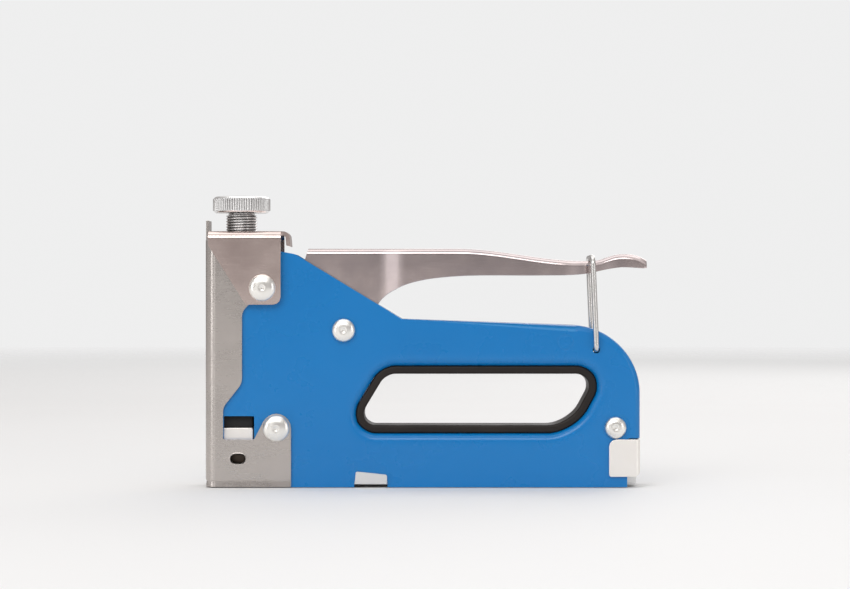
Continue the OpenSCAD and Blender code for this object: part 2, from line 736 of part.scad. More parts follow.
placed() left_shell();
placed() right_shell();
placed() front_plate();
placed() adjuster_bracket();
placed() adjuster_nut();
placed() adjuster_screw();
placed() adjuster_knob();
placed() spring_seat();
placed() main_spring();
placed() plunger();
placed() striker();
placed() striker_rivet();
placed() bumper();
placed() striker_guide();
placed() lever();
placed() lifter();
placed() lifter_rivet();
placed() lever_pin();
placed() pivot_washers();
placed() lever_spring();
placed() front_top_rivet();
placed() front_bottom_rivet();
placed() rear_rivet();
placed() front_spacers();
placed() rear_spacers();
placed() magazine_channel();
placed() magazine_rail();
placed() guide_rod();
placed() pusher();
placed() pusher_spring();
placed() rear_cap();
placed() bail();
placed() grip_liner();
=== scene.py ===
# %% [markdown]
# # A hand staple gun
#
# The sizes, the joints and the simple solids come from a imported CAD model. This script gives
# each piece its finished look: rolled edges on the painted shells, a real screw thread, coiled
# springs, plated and painted surfaces. Every piece is drawn in millimetres, with X counted from
# the front of the nose and Z from the base. One function at the end of each piece brings it to
# metres and to the model's own frame.

import math

import bmesh
import bpy
from mathutils import Matrix, Vector


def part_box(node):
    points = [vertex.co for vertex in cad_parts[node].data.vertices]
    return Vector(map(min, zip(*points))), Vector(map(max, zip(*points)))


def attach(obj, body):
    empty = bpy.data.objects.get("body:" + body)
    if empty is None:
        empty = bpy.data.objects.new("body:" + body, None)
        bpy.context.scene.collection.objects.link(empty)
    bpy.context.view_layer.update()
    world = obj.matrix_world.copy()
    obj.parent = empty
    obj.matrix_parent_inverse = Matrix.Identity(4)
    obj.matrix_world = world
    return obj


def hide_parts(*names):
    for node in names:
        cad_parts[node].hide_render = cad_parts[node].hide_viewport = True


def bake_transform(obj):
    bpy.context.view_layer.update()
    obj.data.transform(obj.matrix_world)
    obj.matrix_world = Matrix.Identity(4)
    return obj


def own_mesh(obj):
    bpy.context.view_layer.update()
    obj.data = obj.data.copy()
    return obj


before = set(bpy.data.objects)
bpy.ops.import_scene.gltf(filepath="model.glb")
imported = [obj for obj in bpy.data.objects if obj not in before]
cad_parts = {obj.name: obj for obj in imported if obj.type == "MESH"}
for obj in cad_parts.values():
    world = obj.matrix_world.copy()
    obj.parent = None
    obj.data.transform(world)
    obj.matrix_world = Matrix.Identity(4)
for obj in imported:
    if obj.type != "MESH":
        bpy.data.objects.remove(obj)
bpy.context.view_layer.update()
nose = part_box("front_plate")[0][0]
print("nose at x = %.1f mm" % (nose * 1000))

# %% [markdown]
# ## Sums in a shader
#
# A finish needs sums such as "roughness plus a little of the smudges". In the node editor each
# sum is a Math node. A small class that wraps a node's output lets Python write them as plain
# expressions, which are easier to read than a list of links. One method adds every other node.

# %% A node's output that can be used in sums
class Signal:
    """The output of a shader node. Adding or multiplying it makes Math nodes."""

    def __init__(self, tree, socket=None):
        self.tree = tree
        self.socket = socket

    def add(self, kind, settings=None, sockets=None, output=0):
        """A node of this kind: its settings are set first, then values or links."""
        node = self.tree.nodes.new(kind)
        for name, value in (settings or {}).items():
            if name == "stops":
                set_stops(node.color_ramp, value)
            else:
                setattr(node, name, value)
        for name, value in (sockets or {}).items():
            if isinstance(value, Signal):
                self.tree.links.new(value.socket, node.inputs[name])
            else:
                node.inputs[name].default_value = value
        return Signal(self.tree, node.outputs[output])

    def maths(self, operation, first, second=0.0):
        return self.add("ShaderNodeMath", {"operation": operation}, {0: first, 1: second})

    def vector(self, operation, second=(0, 0, 0), output=0):
        """A Vector Math node. Operations that give a number have it at the output "Value"."""
        return self.add("ShaderNodeVectorMath", {"operation": operation}, {0: self, 1: second},
                        output)

    def __add__(self, other):
        return self.maths("ADD", self, other)

    def __sub__(self, other):
        return self.maths("SUBTRACT", self, other)

    def __mul__(self, other):
        return self.maths("MULTIPLY", self, other)

    __radd__ = __add__


def set_stops(colour_ramp, stops):
    """Gives a colour ramp its stops as {position: grey level}."""
    while len(colour_ramp.elements) < len(stops):
        colour_ramp.elements.new(0.5)
    for element, (position, level) in zip(colour_ramp.elements, sorted(stops.items())):
        element.position = position
        element.color = (level, level, level, 1)


# %% [markdown]
# ## Patterns that every finish shares
#
# Paint, plating and moulded plastic differ in colour, but each shows the same kinds of detail:
# slow changes from handling, a fine grain, and hairline scratches. They are noise at different
# scales. The patterns read Object coordinates, which are metres in the model's frame, so a
# scale of 1000 gives features about a millimetre across on every piece.

# %% Noise, streaks and hairlines
def noise(place, scale, detail=3.0, stretch=(1, 1, 1), turn=(0, 0, 0)):
    """Noise from 0 to 1. A stretch of 20 along an axis makes it change 20 times as fast there."""
    spot = place.add("ShaderNodeMapping", {}, {"Vector": place, "Scale": stretch, "Rotation": turn})
    return place.add("ShaderNodeTexNoise", {},
                     {"Vector": spot, "Scale": scale, "Detail": detail, "Roughness": 0.55})


def ramp(signal, stops):
    return signal.add("ShaderNodeValToRGB", {"stops": stops}, {"Fac": signal})


def hairlines(place, turn):
    """Fine scratches, all in about one direction."""
    return ramp(noise(place, 160, 2.0, (1, 1, 30), turn), {0.64: 0.0, 0.69: 1.0, 0.73: 0.0})


def mixed(factor, first, second):
    """One colour into another. A Math node would turn them grey."""
    mix = factor.tree.nodes.new("ShaderNodeMix")
    mix.data_type = "RGBA"
    for index, value in ((0, factor), (6, first), (7, second)):
        if isinstance(value, Signal):
            factor.tree.links.new(value.socket, mix.inputs[index])
        else:
            mix.inputs[index].default_value = (*value, 1)
    return Signal(factor.tree, mix.outputs[2])


def bumped(height, distance, strength):
    """A normal for the surface from a height pattern. The distance is in metres."""
    return height.add("ShaderNodeBump", {},
                      {"Height": height, "Distance": distance, "Strength": strength})


def finish(name, sockets, pattern):
    """A material. Steady values go on the shader, and pattern gives those that vary."""
    material = bpy.data.materials.new(name)
    material.use_nodes = True
    tree = material.node_tree
    shader = tree.nodes["Principled BSDF"]
    for socket, value in sockets.items():
        shader.inputs[socket].default_value = value
    start = Signal(tree)
    place = start.add("ShaderNodeTexCoord", {}, {}, "Object")
    for socket, signal in pattern(place).items():
        tree.links.new(signal.socket, shader.inputs[socket])
    print("finish", name, "-", len(tree.nodes), "nodes")
    return material


# %% [markdown]
# ## Blue stove enamel
#
# The shells are pressed steel with a thick glossy enamel. Under a lamp such paint is not quite
# flat: it has a faint orange peel, and handling leaves it a little less glossy in places. On
# sharp cut edges the paint draws back and looks thinner, and the lighter blue there is partly a
# painted highlight as well. A Bevel node finds those edges: it gives the normal of a rounded
# copy, and where that differs from the real one there is an edge.

# %% Paint
def sharp_edges(place, radius):
    """Near 1 on edges sharper than the radius, in metres, and 0 elsewhere."""
    soft = place.add("ShaderNodeBevel", {"samples": 4}, {"Radius": radius})
    flat = place.add("ShaderNodeNewGeometry", {}, {}, "True Normal")
    return ramp(soft.vector("DOT_PRODUCT", flat, "Value"), {0.86: 1.0, 0.985: 0.0})


def press_mark(place, x, z, radius):
    """A faint ring left by the press, as a height from 0 to 1 round a spot given in millimetres."""
    spot = place.vector("SUBTRACT", (nose + x / 1000, 0, z / 1000))
    away = spot.vector("MULTIPLY", (1000, 0, 1000)).vector("LENGTH", output="Value")
    off = away - radius
    return ramp(off.maths("ABSOLUTE", off), {0.0: 1.0, 0.55: 0.0})


def enamel_pattern(place):
    clouds = noise(place, 28, 2.0)
    smudges = ramp(noise(place, 60, 4.0), {0.45: 0.0, 0.75: 1.0})
    peel = noise(place, 650, 1.0)
    dust = ramp(noise(place, 2600, 1.0), {0.70: 0.0, 0.78: 1.0})
    edge = sharp_edges(place, 0.0005)
    body = mixed(clouds, (0.000, 0.172, 0.485), (0.001, 0.194, 0.530))
    return {
        # Sharp edges are mixed toward a lighter blue: partly thinner paint, partly a painted
        # highlight.
        "Base Color": mixed(edge * 0.45, body, (0.012, 0.27, 0.60)),
        "Roughness": 0.27 + smudges * 0.10 + dust * 0.05,
        "Normal": bumped(peel * 0.3 + smudges * 0.1 - press_mark(place, 131.9, 52.8, 2.7) * 3.0,
                         0.00010, 0.4),
    }


blue_enamel = finish("blue_enamel", {"Coat Weight": 0.25, "Coat Roughness": 0.12,
                                     "Specular IOR Level": 0.35}, enamel_pattern)

# %% [markdown]
# ## Plated and bare metals
#
# All the metal pieces share one recipe: a colour for the plating, a rolled grain along the
# sheet, hairlines and slow blotches in the gloss. What tells nickel from chrome or zinc is how
# rough and how warm it is, so the recipe is one function with those as arguments. Only the
# cap's plating is less than fully metallic, which keeps it pale.

# %% Painted shade on metal: at groove bottoms, and inside the front of the gun
micron = 0.000001


def groove_shade(place, plain, mark):
    """Paints shade into the metal where a value of the mesh, from 0 to 1, marks the bottom of a
    groove.
    """
    groove_darkness = place.add("ShaderNodeAttribute", {"attribute_name": mark}, {}, "Fac")
    return mixed(groove_darkness * 0.85, plain, (0.10, 0.10, 0.10))


def shade_inside_front(place, plain, reach):
    """Paints shade into the metal from the nose back as far as the reach, in millimetres: the shade
    inside the front of the gun.
    """
    along = place.add("ShaderNodeSeparateXYZ", {}, {"Vector": place}, "X")
    beyond = along - (nose + reach / 1000)
    # Painted shade: a darker colour where the front of the gun keeps the light out.
    return mixed(ramp(beyond * 200 + 0.5, {0.0: 1.0, 1.0: 0.0}), plain, (0.07, 0.055, 0.045))


# %% Metals
def metal(name, colour, tint, roughness, grain=0.04, lines=0.06, waves=0.0, metallic=1.0,
          front_shade_reach=0.0, groove_shade_attribute=None):
    """A metal that goes from colour to tint in slow blotches. Grain and lines add roughness.

    Waves, in microns, are the slight unevenness of pressed sheet. The last two arguments paint
    shade into the colour, by the two functions above.
    """
    def pattern(place):
        blotches = ramp(noise(place, 45, 3.0), {0.30: 0.0, 0.72: 1.0})
        rolled = noise(place, 140, 2.0, (1, 1, 16))
        scratches = hairlines(place, (0.3, 0.9, 0.2)) + hairlines(place, (1.1, -0.6, 0.4))
        pits = ramp(noise(place, 1500, 2.0), {0.58: 0.0, 0.74: 1.0})
        height = rolled * (grain * 60) + scratches - pits * 2.5 + noise(place, 60, 1.0) * waves
        plain = mixed(blotches, colour, tint)
        # Painted shade: darker at groove bottoms, and inside the front of the gun.
        if groove_shade_attribute:
            plain = groove_shade(place, plain, groove_shade_attribute)
        if front_shade_reach:
            plain = shade_inside_front(place, plain, front_shade_reach)
        return {
            "Base Color": plain,
            "Roughness": roughness + rolled * grain + blotches * 0.05 + scratches * lines
            + pits * 0.05,
            "Normal": bumped(height, micron, 0.5),
        }
    return finish(name, {"Metallic": metallic}, pattern)


# %% The metals of this gun
nickel = metal("satin_nickel", (0.50, 0.465, 0.44), (0.58, 0.535, 0.505), 0.22, 0.06, waves=50)
bracket_nickel = metal("bright_nickel", (0.68, 0.56, 0.525), (0.88, 0.75, 0.70), 0.14, 0.05,
                       waves=260)
lever_chrome = metal("lever_chrome", (0.50, 0.44, 0.45), (0.70, 0.60, 0.585), 0.12, 0.04, waves=220)
# The knob and the screw get painted shade at the bottoms of their grooves.
knob_chrome = metal("knob_chrome", (0.80, 0.80, 0.80), (0.85, 0.84, 0.83), 0.16, 0.02, 0.05,
                    groove_shade_attribute="groove")
screw_zinc = metal("screw_zinc", (0.76, 0.76, 0.76), (0.84, 0.83, 0.82), 0.22, 0.01,
                   groove_shade_attribute="groove")
rivet_steel = metal("rivet_steel", (0.88, 0.86, 0.82), (0.93, 0.91, 0.87), 0.24, 0.03, 0.05)
cap_plating = metal("cap_plating", (0.93, 0.89, 0.84), (0.96, 0.93, 0.89), 0.30, 0.03, 0.05,
                    metallic=0.6)
bail_wire = metal("bright_wire", (0.66, 0.65, 0.64), (0.74, 0.73, 0.71), 0.16, 0.03, 0.05)
zinc_sheet = metal("zinc_sheet", (0.84, 0.84, 0.83), (0.90, 0.90, 0.88), 0.30, 0.06)
# The magazine channel gets painted shade along its front 20 mm.
channel_zinc = metal("zinc_painted_shade", (0.86, 0.86, 0.85), (0.92, 0.92, 0.90), 0.30, 0.06,
                     front_shade_reach=20)
hard_steel = metal("hardened_steel", (0.20, 0.20, 0.21), (0.30, 0.29, 0.28), 0.38, 0.06)
spring_wire = metal("spring_wire", (0.30, 0.30, 0.31), (0.42, 0.41, 0.40), 0.30, 0.04)

# %% [markdown]
# ## Plastic and rubber
#
# The liner is moulded in black plastic with a fine spark texture from its mould, and the bumper
# is dull rubber. Both are dark, so their look comes from how they scatter light: a matt surface
# with a fine bump, a little glossier where fingers polish it.

# %% Black plastic and rubber
def moulded(name, colour, worn, roughness, grain_scale, depth):
    """A plastic or rubber with the texture of its mould, smoother where it is handled."""
    def pattern(place):
        grain = noise(place, grain_scale, 2.0)
        polish = ramp(noise(place, 35, 2.0), {0.42: 0.0, 0.70: 1.0})
        return {
            "Base Color": mixed(polish, colour, worn),
            "Roughness": roughness + grain * 0.12 - polish * 0.10,
            "Normal": bumped(grain, depth, 0.6),
        }
    return finish(name, {"Specular IOR Level": 0.25}, pattern)


black_plastic = moulded("black_plastic", (0.017, 0.013, 0.011), (0.026, 0.020, 0.017), 0.42, 2200,
                        60 * micron)
black_rubber = moulded("black_rubber", (0.012, 0.012, 0.012), (0.02, 0.02, 0.02), 0.70, 1400,
                       40 * micron)

# %% [markdown]
# ## From a drawing to an object
#
# Sheet metal starts as a flat outline. It could be typed as a long list of points, but a shop
# draws the straight lines first and rounds the corners after, and so does this: a face with a
# few corners, then a vertex bevel on each. The helpers below are the bench tools for all the
# pieces: an outline, folding a flange, punching holes, and handing the finished piece over.

# %% Outlines with round corners
def each_corner(corners):
    """Each corner's place, radius, directions to its neighbours and half angle between them."""
    for before, corner, after in zip(corners[-1:] + corners, corners, corners[1:] + corners[:1]):
        here = Vector(corner[:2])
        back = (Vector(before[:2]) - here).normalized()
        on = (Vector(after[:2]) - here).normalized()
        yield here, corner[2], back, on, back.angle(on) / 2


def cut_across(corners):
    """A bevel is round up to about a right angle, so a sharper corner is made of two."""
    done = []
    for here, radius, back, on, half in each_corner(corners):
        if radius and half < 0.75:
            reach = radius / math.tan(half) - radius * math.tan(math.pi / 4 - half / 2)
            done += [(*(here + back * reach), radius), (*(here + on * reach), radius)]
        else:
            done.append((*here, radius))
    return done


def outline(corners, y):
    """A bmesh with one upright face. Each corner is (x, z, radius)."""
    corners = cut_across(corners)
    sheet = bmesh.new()
    points = [sheet.verts.new((x, y, z)) for x, z, _ in corners]
    sheet.faces.new(points)
    for point, (_, radius, _, _, half) in zip(points, each_corner(corners)):
        if radius:
            steps = max(3, round(radius * (math.pi - 2 * half) / 1.6))
            bmesh.ops.bevel(sheet, geom=[point], offset=radius / math.tan(half), offset_type="OFFSET",
                            segments=steps, profile=0.5, affect="VERTICES", material=-1)
    bmesh.ops.remove_doubles(sheet, verts=sheet.verts[:], dist=0.03)
    return sheet


def round_hole(x, z, radius, y, segments):
    """A ring of edges for punching a hole in an upright sheet."""
    ring = bmesh.new()
    place = Matrix.Translation((x, y, z)) @ Matrix.Rotation(math.pi / 2, 4, "X")
    bmesh.ops.create_circle(ring, segments=segments, radius=radius, matrix=place)
    return ring


def put_in(sheet, other):
    """Adds another bmesh's geometry to this one."""
    carrier = bpy.data.meshes.new("carrier")
    other.to_mesh(carrier)
    sheet.from_mesh(carrier)
    bpy.data.meshes.remove(carrier)
    other.free()


# %% Folding and punching
def points_of(made):
    return [item for item in made["geom"] if isinstance(item, bmesh.types.BMVert)]


def edges_of(made):
    return [item for item in made["geom"] if isinstance(item, bmesh.types.BMEdge)]


def middle(edge):
    return (edge.verts[0].co + edge.verts[1].co) / 2


def open_edges(sheet, test):
    """The sheet's open edges whose middle passes the test."""
    return [edge for edge in sheet.edges if len(edge.link_faces) < 2 and test(middle(edge))]


def draw_out(sheet, edges, *moves):
    """Extrudes the edges by each move in turn, and returns the last row."""
    for move in moves:
        made = bmesh.ops.extrude_edge_only(sheet, edges=edges)
        bmesh.ops.translate(sheet, verts=points_of(made), vec=move)
        edges = [edge for edge in edges_of(made) if len(edge.link_faces) == 1
                 and all(point in points_of(made) for point in edge.verts)]
    return edges


def bend(sheet, edges, centre, axis, degrees, steps=8):
    """Sweeps the edges round an axis, as a press brake does, and returns the last row."""
    made = bmesh.ops.spin(sheet, geom=edges, cent=centre, axis=axis, angle=math.radians(degrees),
                          steps=steps, use_merge=False)
    return [item for item in made["geom_last"] if isinstance(item, bmesh.types.BMEdge)]


def round_over(sheet, edges, radius, segments, **more):
    bmesh.ops.bevel(sheet, geom=edges, offset=radius, offset_type="OFFSET", segments=segments,
                    profile=0.5, affect="EDGES", material=-1, **more)


def flange(sheet, edges, depth, radius):
    """Turns a flange in from these edges and rounds the fold."""
    draw_out(sheet, edges, (0, depth, 0))
    round_over(sheet, edges, radius, 6)


def fill_flat(sheet, rims, normal):
    """Fills between outlines with triangles, then joins them again into a few wide faces."""
    made = bmesh.ops.triangle_fill(sheet, edges=rims, use_beauty=True, normal=normal)
    filled = {item for item in made["geom"] if isinstance(item, bmesh.types.BMFace)}
    inner = [edge for edge in edges_of(made)
             if len(edge.link_faces) == 2 and filled.issuperset(edge.link_faces)]
    bmesh.ops.dissolve_limit(sheet, angle_limit=0.01, edges=inner, verts=[])


def punch(sheet, holes):
    """Fills the upright side again, leaving out the holes. The side is the biggest face."""
    side = max(sheet.faces, key=lambda face: face.calc_area())
    y = side.verts[0].co.y
    normal = side.normal.copy()
    flat = [face for face in sheet.faces if all(abs(point.co.y - y) < 1e-4 for point in face.verts)]
    bmesh.ops.delete(sheet, geom=flat, context="FACES_ONLY")
    for hole in holes:
        put_in(sheet, hole)
    fill_flat(sheet, open_edges(sheet, lambda at: abs(at.y - y) < 1e-4), normal)


def cut_level(sheet, z, **clear):
    """Cuts across at this height. clear_inner=True drops what is below, clear_outer above."""
    bmesh.ops.bisect_plane(sheet, geom=sheet.verts[:] + sheet.edges[:] + sheet.faces[:],
                           plane_co=(0, 0, z), plane_no=(0, 0, 1), **clear)


def mirrored(sheet):
    """Adds the other half, across the middle plane."""
    bmesh.ops.mirror(sheet, geom=sheet.verts[:] + sheet.edges[:] + sheet.faces[:],
                     matrix=Matrix.Identity(4), merge_dist=1e-4, axis="Y")


# %% Handing a piece over
sharp_angle = 34


def face_outwards(sheet):
    """Makes all faces agree, and turns them if the biggest one looks at the piece's middle."""
    bmesh.ops.recalc_face_normals(sheet, faces=sheet.faces[:])
    if all(len(edge.link_faces) == 2 for edge in sheet.edges):
        return
    low = Vector([min(point.co[axis] for point in sheet.verts) for axis in range(3)])
    high = Vector([max(point.co[axis] for point in sheet.verts) for axis in range(3)])
    side = max(sheet.faces, key=lambda face: face.calc_area())
    if side.normal.dot(side.calc_center_median() - (low + high) / 2) < 0:
        bmesh.ops.reverse_faces(sheet, faces=sheet.faces[:])


def hand_over(sheet, name, body, nodes, material, wall=0.0, edge=0.2, segments=3):
    """Places a finished bmesh in the frame, gives it a wall and soft edges, ties it to its body and
    hides the CAD nodes it replaces.

    With a body of None the piece is tied to no body.
    """
    bmesh.ops.remove_doubles(sheet, verts=sheet.verts[:], dist=1e-3)
    face_outwards(sheet)
    bmesh.ops.transform(sheet, verts=sheet.verts[:],
                        matrix=Matrix.Translation((nose, 0, 0)) @ Matrix.Scale(0.001, 4))
    mesh = bpy.data.meshes.new(name)
    sheet.to_mesh(mesh)
    sheet.free()
    mesh.shade_smooth()
    piece = bpy.data.objects.new(name, mesh)
    bpy.context.scene.collection.objects.link(piece)
    mesh.materials.append(material)
    if wall:
        thick = piece.modifiers.new("wall", "SOLIDIFY")
        thick.thickness = wall / 1000
        thick.offset = -1
        thick.use_even_offset = True
    if edge:
        soft = piece.modifiers.new("soft edges", "BEVEL")
        soft.width = edge / 1000
        soft.segments = segments
        soft.limit_method = "ANGLE"
        soft.angle_limit = math.radians(sharp_angle)
        soft.miter_outer = "MITER_ARC"
    weighted = piece.modifiers.new("flat faces stay flat", "WEIGHTED_NORMAL")
    weighted.weight = 100
    if body:
        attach(piece, body)
    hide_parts(*nodes)
    print(name, "-", len(mesh.polygons), "faces before its modifiers")
    return piece


# %% [markdown]
# ## The hand hole
#
# The hole for the fingers is drawn once, as four straight sides with a different radius at each
# corner. The rolled rim round it and the liner in it are the same shape, moved out or in. A
# scaled copy would not fit, because scaling moves long sides more than short ones. Moving each
# side by the same distance does, and each corner's radius grows or shrinks with it.

# %% The hole's outline, and the same outline moved out
hand_hole = [(49.44, 19.6, 7.2), (135.43, 19.6, 16.6), (148.72, 44.4, 7.5), (64.42, 44.4, 9.0)]


def grown(corners, by):
    """The outline with every side moved out by this much, or in if it is negative."""
    moved = []
    for here, radius, back, on, half in each_corner(corners):
        out = here - (back + on).normalized() * by / math.sin(half)
        moved.append((out.x, out.y, radius + by))
    return moved


print("the rim's outline:", len(outline(grown(hand_hole, 4.5), 0).verts), "points")

# %% [markdown]
# ## The painted shells
#
# Each half of the body is one pressing. Its side is flat, the edge along the grip and the rear
# arch is turned in to meet the other half at a seam, and the rim of the hand hole is rolled in
# the same way. The slanted top and the base are plain cut edges. So the flat outline comes
# first, then a flange folded from some of its edges, then the holes. A Solidify modifier gives
# the sheet its wall, because that is how thickness works on a pressing: the same everywhere.

# %% Left and right shells
shell_y = 10.0
hem_radius = 2.4
seam = 0.12


def rolled_rim(y):
    """The hand hole's rim: a flat ring whose inner edge is rolled in to the seam."""
    rim = outline(grown(hand_hole, 4.5), y)
    bmesh.ops.inset_individual(rim, faces=rim.faces[:], thickness=4.5, use_even_offset=True)
    plug = max(rim.faces, key=lambda face: len(face.verts))
    edge = plug.edges[:]
    bmesh.ops.delete(rim, geom=[plug], context="FACES_ONLY")
    flange(rim, edge, -y - seam, 3.0)
    return rim


def half_shell():
    y = -shell_y
    sheet = outline([(17.0, 0, 0), (54.6, 0, 0), (54.6, 2.4, 0.5), (66.8, 2.4, 0.5), (66.8, 0, 0),
                     (154.5, 0, 0), (154.5, 17.9, 0.8), (159.3, 17.9, 0), (159.3, 58.4, 25.0),
                     (72.1, 61.5, 0), (32.9, 85.3, 3.0), (28, 86.2, 2), (4.2, 86.2, 0),
                     (4.2, 15.6, 0), (17.0, 15.6, 0)], y)
    hem = open_edges(sheet, lambda at: (at.x > 155 and at.z > 18) or (at.x > 72.2 and at.z > 40))
    flange(sheet, hem, shell_y - seam, hem_radius)
    window = outline([(6.9, 17.3, 0.4), (18, 17.3, 0.4), (18, 26, 0.4), (6.9, 26, 0.4)], y)
    bmesh.ops.delete(window, geom=window.faces[:], context="FACES_ONLY")
    punch(sheet, [window, round_hole(143.2, 50.3, 1.35, y, 24), rolled_rim(y)])
    return sheet


for name, side in (("left_shell", 1), ("right_shell", -1)):
    sheet = half_shell()
    bmesh.ops.scale(sheet, verts=sheet.verts[:], vec=(1, side, 1))
    hand_over(sheet, name + "_pressing", "body", [name], blue_enamel, wall=1.2,
              edge=0.22)

# %% [markdown]
# ## The plated nose
#
# The nose is one sheet folded to a U round both shells. A designer could draw the U from above
# and cut its sides to shape, but the sides have the detail: the step round the rubber, the
# round lug of the lower rivet, an oval hole. So one side is drawn flat, its holes are punched,
# and its front edge is swept round the fold to the middle. A mirror gives the other half. The
# circle of the lug is drawn as two rounded corners, because one corner can't turn so far. A
# band along the lower edge is crimped in a little, which stiffens the sheet where it takes the
# blow.

# %% Holes with a raised rim
def oval(x, z, length, height, y):
    """A long hole with round ends. Its radius stays just short of half its height."""
    half_length, half_height = length / 2, height / 2
    corners = ((-1, -1), (1, -1), (1, 1), (-1, 1))
    return outline([(x + half_length * along, z + half_height * up, half_height - 0.01)
                    for along, up in corners], y)


def raised_rim(hole, width, height):
    """Turns a hole's face into a ring that rises towards the hole, as a punch leaves it."""
    face = hole.faces[:][0]
    bmesh.ops.inset_individual(hole, faces=[face], thickness=width, use_even_offset=True)
    bmesh.ops.translate(hole, verts=face.verts[:], vec=(0, -height, 0))
    bmesh.ops.delete(hole, geom=[face], context="FACES_ONLY")
    return hole


# %% Front plate
plate_y = 11.0
plate_bend = 4.0
plate_top = 90.5
plate = outline([(plate_bend, 0, 0), (31.5, 0, 0.6), (31.5, 26.9, 5.38), (22.79, 26.9, 5.38),
                 (18, 17.5, 0.3), (6.7, 17.5, 0.5), (6.7, 29.2, 4), (13.6, 38, 5), (13.6, 64.2, 4),
                 (18, 68.8, 1), (25.5, 68.8, 1), (25.5, plate_top, 1), (plate_bend, plate_top, 0)],
                -plate_y)
punch(plate, [raised_rim(oval(12.1, 10.4, 6.8, 4.8, -plate_y), 0.4, 0.25)])
fold = open_edges(plate, lambda at: at.x < plate_bend + 0.01)
front = bend(plate, fold, (plate_bend, plate_bend - plate_y, 0), (0, 0, 1), -90)
finger_side = 1
draw_out(plate, front, (0, finger_side, 0), (0, plate_y - plate_bend - finger_side, 0))
finger = open_edges(plate, lambda at: at.x < 0.01 and at.z > plate_top - 0.1 and at.y > -5.9)
draw_out(plate, finger, (0, 0, 7.2))

# %% The crimped band along its lower edge
band_top, band_step = 2.8, 2.3
cut_level(plate, band_top)
cut_level(plate, band_step)
for point in plate.verts:
    if point.co.z < band_step + 0.1:
        inset = 0.3 if point.co.z > band_step - 0.1 else 0.05
        point.co.z = max(point.co.z, 0.12)
        point.co.y += inset * (point.co.y < plate_bend - plate_y)
        point.co.x += inset * (point.co.x < 1)
mirrored(plate)
hand_over(plate, "nose_plate", "body", ["front_plate"], nickel, wall=1.0, edge=0.32)

# %% [markdown]
# ## The bracket on top
#
# The bracket that carries the adjusting screw is thicker sheet, folded down over the nose. It
# is made like the nose, with its fold along the top. A tongue at the rear is curled down. The
# top is punched for the nut after both halves are joined, because its hole crosses the middle.

# %% Adjuster bracket
screw_x = 12.65
bracket_y = 12.5
bracket_bend = 3.0
bracket_rear = 27.8
bracket_top = 93.7
bend_z = bracket_top - bracket_bend
bracket = outline([(1.3, 88.5, 0.6), (15, 66.8, 1.4), (bracket_rear, 66.8, 2.8),
                   (bracket_rear, bend_z, 0), (1.3, bend_z, 0)], -bracket_y)
fold = open_edges(bracket, lambda at: at.z > bend_z - 0.01)
top = bend(bracket, fold, (0, bracket_bend - bracket_y, bend_z), (1, 0, 0), -90)
draw_out(bracket, top, (0, 2.5, 0), (0, 7, 0))
root = open_edges(bracket, lambda at: at.x > bracket_rear - 0.1 and at.z > bracket_top - 0.1
                  and at.y > -6.9)
root = draw_out(bracket, root, (0.6, 0, 0))
root = bend(bracket, root, (bracket_rear + 0.6, 0, bracket_top - 2.4), (0, 1, 0), 90, 6)
draw_out(bracket, root, (0.25, 0, -2.9), (-0.1, 0, -0.3))
mirrored(bracket)


# %% Punch its top for the nut
def on_top(item):
    return all(abs(point.co.z - bracket_top) < 1e-3 and point.co.x < bracket_rear + 0.1
               for point in item.verts)


bmesh.ops.dissolve_faces(bracket, faces=[face for face in bracket.faces if on_top(face)])
lid = max((face for face in bracket.faces if on_top(face)), key=lambda face: face.calc_area())
bmesh.ops.delete(bracket, geom=[lid], context="FACES_ONLY")
collar = bmesh.new()
bmesh.ops.create_circle(collar, segments=48, radius=7.0,
                        matrix=Matrix.Translation((screw_x, 0, bracket_top)))
put_in(bracket, collar)
rims = [edge for edge in bracket.edges if len(edge.link_faces) < 2 and on_top(edge)]
fill_flat(bracket, rims, (0, 0, 1))
hand_over(bracket, "folded_bracket", "body", ["adjuster_bracket"], bracket_nickel,
          wall=1.5, edge=0.38, segments=4)

# %% [markdown]
# ## Rivets
#
# A rivet is round, so it is turned: half of its section is drawn from the middle out and spun
# once round its own axis. The head is a low dome with a dimple, where the riveting tool pressed.
# A full spin is told to merge, so the last step closes on the first without a double edge.

# %% Turned parts
def turned(profile, centre, axis, segments=48):
    """Spins a line of points round an axis through the centre, to a closed solid."""
    shape = bmesh.new()
    points = [shape.verts.new(place) for place in profile]
    edges = [shape.edges.new(pair) for pair in zip(points, points[1:])]
    bmesh.ops.spin(shape, geom=points + edges, cent=centre, axis=axis, angle=2 * math.pi,
                   steps=segments, use_merge=True)
    bmesh.ops.remove_doubles(shape, verts=shape.verts[:], dist=1e-4)
    return shape


def rivet(node, x, z, grip, radius, height):
    """A rivet across the body, with its heads outside the grip."""
    shank = radius * 0.5
    head = [(0, height - 0.40), (0.50, height - 0.40), (0.66, height - 0.34), (0.90, height - 0.08),
            (1.05, height - 0.01), (1.6, height), (radius * 0.62, height - 0.16),
            (radius * 0.84, height - 0.62), (radius * 0.965, height * 0.52), (radius, height * 0.28),
            (radius, 0.0), (shank, 0.0)]
    half = [(x + out, -grip - up, z) for out, up in head]
    profile = half + [(px, -py, pz) for px, py, pz in reversed(half)]
    hand_over(turned(profile, (x, 0, z), (0, 1, 0)), node + "_turned", "body", [node],
              rivet_steel, edge=0.0)


dome = 2.28
pivot = (50.7, 57.4)
rivet("front_top_rivet", 21.1, 72.9, bracket_y, 4.9, dome)
rivet("front_bottom_rivet", 26.1, 21.5, plate_y, 4.9, dome)
rivet("lever_pin", *pivot, shell_y, 4.3, dome)
rivet("rear_rivet", 150.2, 21.8, shell_y, 4.0, dome)

